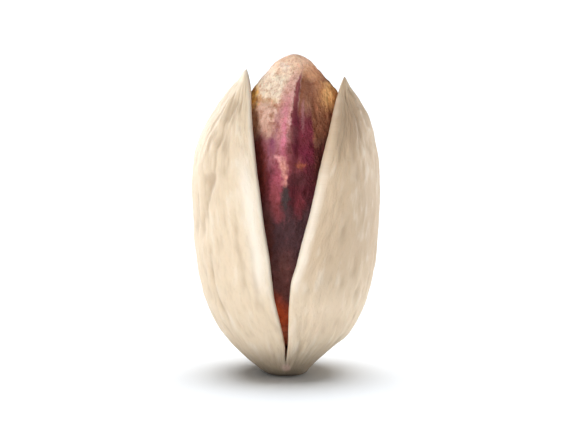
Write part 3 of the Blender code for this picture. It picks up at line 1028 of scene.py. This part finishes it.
    def roughen(self, mesh: Mesh) -> None:
        """Raises the wall's relief and the scar's hollow, and keeps how hollow each place is.

        Args:
            mesh: The shell's mesh.
        """
        places = coordinates(mesh) / MM
        outside = 1.0 - read_values(mesh, "inside")
        calm = outside * smooth_step(0.0, 1.5, places[:, 2]) * (1.0 - smooth_step(18.6, 19.6, places[:, 2]))
        raised, hollow = self.relief(mesh, places)
        keep_values(mesh, "hollow", calm * hollow)
        from_rim = self.scar_radius - np.hypot(places[:, 0], places[:, 1] * 0.8)
        on_scar = (places[:, 2] < 0.02) & (outside > 0.5)
        dished = np.where(on_scar, smooth_step(0.0, 0.5, from_rim), 0.0)
        places += normals(mesh) * (np.minimum(raised, self.most_raised) * calm)[:, None]
        places[:, 2] += self.scar_hollow * dished * (1.0 + 0.5 * natural(places, (2.0, 2.0, 1.0), 2, 5.0))
        place_vertices(mesh, places * MM)

    def dress(self, piece: Item) -> None:
        """Gives the piece its finish and its place in the frame.

        Args:
            piece: The shell, alone in the selection.
        """
        bpy.ops.object.shade_smooth()
        piece.data.materials.append(ShellFinish().build())
        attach(piece, "root")
        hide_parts("shell")

    def build(self) -> Item:
        """Makes the piece.

        Returns:
            The shell, dressed and riding on the part's body.
        """
        piece = start_sphere("woody_shell", self.around, self.up)
        self.open_cracks(piece)
        self.note_sides(piece.data)
        self.add_cavity_and_lips(piece)
        self.shape(piece.data)
        self.close()
        self.roughen(piece.data)
        self.dress(piece)
        return piece


@dataclass
class Kernel:
    """The seed in its skin, with a ridge up its front. Sizes in millimetres."""

    around: int = 288
    up: int = 220
    bottom: float = 1.87
    top: float = 21.05
    half_width: float = 4.4
    half_depth: float = 4.25
    top_shift: float = 0.56
    shoulder: float = 0.2
    shoulder_height: float = 18.6
    shoulder_width: float = 0.7
    crown_slope: float = 0.1
    crown_height: float = 19.9
    swell_length: float = 0.8
    forward: float = 0.12
    low_end_forward: float = 0.5
    fullness: float = 2.1
    low_end_fullness: float = 2.5
    top_end_fullness: float = 1.8
    ridge_height: float = 0.6
    ridge_left_width: float = math.radians(20)
    ridge_right_width: float = math.radians(7)
    groove_depth: float = 0.18
    groove_angle: float = math.radians(7)
    groove_width: float = math.radians(4)
    ridge_start: float = 0.35
    ridge_full: float = 0.75
    cheek_flat: float = 0.3
    cheek_angle: float = math.radians(42)
    cheek_width: float = math.radians(22)
    seam_width: float = math.radians(11)
    ridge: Points = ((10.0, -93.0), (14.0, -91.5), (16.0, -91.0), (18.0, -90.0), (19.5, -85.0), (20.4, -70.0))

    def shape(self, mesh: Mesh) -> None:
        """Moves the sphere's vertices on to the kernel, with its ridge and its flatter cheeks.

        Args:
            mesh: The sphere's mesh.
        """
        unit = coordinates(mesh)
        rise = (unit[:, 2] + 1.0) / 2.0
        across, along = directions(unit)
        turn = np.arctan2(along, across)
        power = np.where(rise < 0.5, self.low_end_fullness, self.top_end_fullness)
        oval = np.maximum(0.0, 1.0 - np.abs(2.0 * rise - 1.0) ** power) ** (1.0 / power)
        heights = self.bottom + rise * (self.top - self.bottom)
        past = turn - np.radians(SmoothLine(self.ridge).at(heights))
        past = (past + math.pi) % (2.0 * math.pi) - math.pi
        width = np.where(past > 0.0, self.ridge_right_width, self.ridge_left_width)
        ridge = self.ridge_height * bump(0.0, 1.0, past / width)
        ridge -= self.groove_depth * bump(self.groove_angle, self.groove_width, past)
        cheeks = self.cheek_flat * bump(self.cheek_angle, self.cheek_width, np.abs(past))
        swell = oval * (ridge - cheeks) * smooth_step(self.ridge_start, self.ridge_full, rise)
        on_shoulder = bump(self.shoulder_height, self.swell_length, heights)
        swell += self.shoulder * on_shoulder * bump(0.0, self.shoulder_width, turn)
        swell -= self.crown_slope * bump(self.crown_height, self.swell_length, heights) * np.abs(across)
        shift = self.top_shift * rise**2
        forward = self.forward + self.low_end_forward * (1.0 - rise) ** 3
        places = np.column_stack((
            shift + oval * self.half_width * rounded(across, self.fullness) + swell * across,
            -forward + oval * self.half_depth * rounded(along, self.fullness) + swell * along,
            heights,
        ))
        place_vertices(mesh, places * MM)
        from_left = math.pi - np.abs(turn)
        keep_values(mesh, "past", np.degrees(past))
        keep_values(mesh, "seam", bump(0.0, self.seam_width, from_left) * smooth_step(19.0, 19.6, heights))

    def roughen(self, mesh: Mesh) -> None:
        """Raises the skin's wrinkles and folds, and keeps where it folds in.

        Args:
            mesh: The kernel's mesh.
        """
        places = coordinates(mesh) / MM
        coarse = natural(places, (0.7, 0.7, 0.5), 3, 2.3)
        fine = natural(places, (2.4, 2.4, 1.5), 3, 8.9)
        creased = 1.0 - smooth_step(0.0, 0.16, np.abs(natural(places, (1.3, 1.3, 0.8), 2, 21.0)))
        crease = bump(18.15, 0.16, places[:, 2] + 0.3 * coarse) * smooth_step(0.2, -0.4, places[:, 0])
        grit = natural(places, (4.5, 4.5, 3.0), 2, 33.0)
        relief = 0.06 * coarse + 0.05 * fine + 0.025 * grit - 0.03 * creased - 0.12 * crease
        # Where the skin folds in, which the finish darkens as painted shade
        keep_values(mesh, "fold", np.clip(0.2 * creased + crease - 0.8 * fine - 0.5 * grit, 0.0, 1.0))
        relief *= 1.0 - smooth_step(20.4, 20.9, places[:, 2])
        places += normals(mesh) * relief[:, None]
        place_vertices(mesh, places * MM)

    def dress(self, piece: Item) -> None:
        """Gives the piece its finish and its place in the frame.

        Args:
            piece: The kernel, alone in the selection.
        """
        bpy.ops.object.shade_smooth()
        piece.data.materials.append(KernelFinish().build())
        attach(piece, "root")
        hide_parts("kernel")

    def build(self) -> Item:
        """Makes the piece.

        Returns:
            The kernel, dressed and riding on the part's body.
        """
        piece = start_sphere("skinned_kernel", self.around, self.up)
        self.shape(piece.data)
        self.roughen(piece.data)
        self.dress(piece)
        return piece


def stand_off(item: Item, aim: Triple, azimuth: float, elevation: float, distance: float) -> None:
    """Stands a light or the camera off from a place, facing it, and adds it to the scene.

    Args:
        item: The light or the camera.
        aim: The place, in metres.
        azimuth: Degrees round from the camera's side towards +X.
        elevation: Degrees above level.
        distance: How far off it stands, in metres.
    """
    turn = math.radians(azimuth)
    lift = math.radians(elevation)
    away = Vector((math.sin(turn) * math.cos(lift), -math.cos(turn) * math.cos(lift), math.sin(lift)))
    item.location = Vector(aim) + away * distance
    item.rotation_euler = (-away).to_track_quat("-Z", "Y").to_euler()
    bpy.context.scene.collection.objects.link(item)


class Lit(Enum):
    """What a lamp lights. Each lamp is kept to one of these, as if it was flagged off the other."""

    NUT = "nut"
    FLOOR = "floor"


@dataclass(frozen=True)
class Softbox:
    """A square soft light that faces the nut. Angles in degrees, as stand_off takes them."""

    name: str
    azimuth: float
    elevation: float
    power: float
    size: float = 0.2
    distance: float = 0.4

    def hang(self, aim: Triple) -> Item:
        """Hangs the light.

        Args:
            aim: The place that it faces, in metres.

        Returns:
            The light's object.
        """
        lamp = bpy.data.lights.new(self.name, "AREA")
        lamp.energy = self.power
        lamp.size = self.size
        light = bpy.data.objects.new(self.name, lamp)
        stand_off(light, aim, self.azimuth, self.elevation, self.distance)
        return light


@dataclass
class Studio:
    """The white floor, the soft lights and the camera. Sizes in metres, angles in degrees.

    The lens and its sensor are in millimetres.
    """

    floor_size: float = 3.0
    lens: float = 200.0
    sensor_width: float = 36.0
    nearest: float = 0.01
    distance: float = 0.2083
    elevation: float = 9.0
    aim: Triple = (-0.000066, 0.0, 0.01008)
    backdrop: float = 1.05
    air: float = 0.2
    floor_light: float = 3.6
    floor_light_spread: float = 62.0
    floor_light_tilt: float = 13.0
    softboxes: tuple[Softbox, ...] = (
        Softbox("key", -42.0, 32.0, 1.12),
        Softbox("fill", 3.0, 7.0, 0.32, 0.12),
        Softbox("left_rim", -140.0, 14.0, 1.1),
        Softbox("right_rim", 112.0, 3.0, 1.5),
    )

    def lay_floor(self) -> Item:
        """Lays the floor that the nut stands on.

        Returns:
            The floor.
        """
        bpy.ops.object.select_all(action="DESELECT")
        bpy.ops.mesh.primitive_plane_add(size=self.floor_size)
        floor = bpy.context.object
        floor.name = "studio_floor"
        floor.data.materials.append(FloorFinish().build())
        return floor

    def flag(self, light: Item, lit: Lit, pieces: list[Item]) -> None:
        """Keeps a light to one set of pieces, whose shadows it still casts.

        Args:
            light: The light.
            lit: Which set it is.
            pieces: The pieces of the set.
        """
        name = "lit_" + lit.value
        lit_only = bpy.data.collections.get(name) or bpy.data.collections.new(name)
        for piece in pieces:
            if piece.name not in lit_only.objects:
                lit_only.objects.link(piece)
        light.light_linking.receiver_collection = lit_only

    def light_floor(self, floor: Item) -> None:
        """Lights the floor from above and a little behind, so that the shadow lies round the foot.

        Args:
            floor: The floor, which this light alone lights.
        """
        lamp = bpy.data.lights.new("floor_light", "SUN")
        lamp.energy = self.floor_light
        lamp.angle = math.radians(self.floor_light_spread)
        light = bpy.data.objects.new("floor_light", lamp)
        light.rotation_euler = (-math.radians(self.floor_light_tilt), 0.0, 0.0)
        bpy.context.scene.collection.objects.link(light)
        self.flag(light, Lit.FLOOR, [floor])

    def fill_air(self) -> None:
        """Surrounds the nut with weak white light, behind which the backdrop looks white."""
        world = bpy.data.worlds.new("studio_air")
        world.use_nodes = True
        nodes, links = world.node_tree.nodes, world.node_tree.links
        background = nodes["Background"]
        background.inputs["Color"].default_value = (1.0, 1.0, 1.0, 1.0)
        path = nodes.new("ShaderNodeLightPath")
        seen = nodes.new("ShaderNodeMath")
        seen.operation = "MULTIPLY_ADD"
        seen.inputs[1].default_value = self.backdrop - self.air
        seen.inputs[2].default_value = self.air
        links.new(path.outputs["Is Camera Ray"], seen.inputs[0])
        links.new(seen.outputs["Value"], background.inputs["Strength"])
        bpy.context.scene.world = world

    def set_camera(self) -> None:
        """Stands the camera at the photograph's angle."""
        data = bpy.data.cameras.new("camera")
        data.lens = self.lens
        data.sensor_width = self.sensor_width
        data.clip_start = self.nearest
        camera = bpy.data.objects.new("camera", data)
        stand_off(camera, self.aim, 0.0, self.elevation, self.distance)
        bpy.context.scene.camera = camera

    def build(self, pieces: list[Item]) -> None:
        """Makes the whole studio.

        Args:
            pieces: The nut's pieces, which the softboxes light.
        """
        self.light_floor(self.lay_floor())
        for softbox in self.softboxes:
            self.flag(softbox.hang(self.aim), Lit.NUT, pieces)
        self.fill_air()
        self.set_camera()
        bpy.context.scene.view_settings.view_transform = "Standard"


def main() -> None:
    """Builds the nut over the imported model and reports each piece."""
    logging.basicConfig(level=logging.INFO, format="%(message)s")
    log = logging.getLogger("pistachio")
    for old in list(bpy.data.objects):
        bpy.data.objects.remove(old, do_unlink=True)
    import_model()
    pieces = []
    for maker in (Shell(), Kernel()):
        pieces.append(maker.build())
        log.info("%s: %d faces", pieces[-1].name, len(pieces[-1].data.polygons))
    Studio().build(pieces)


if __name__ == "__main__":
    main()
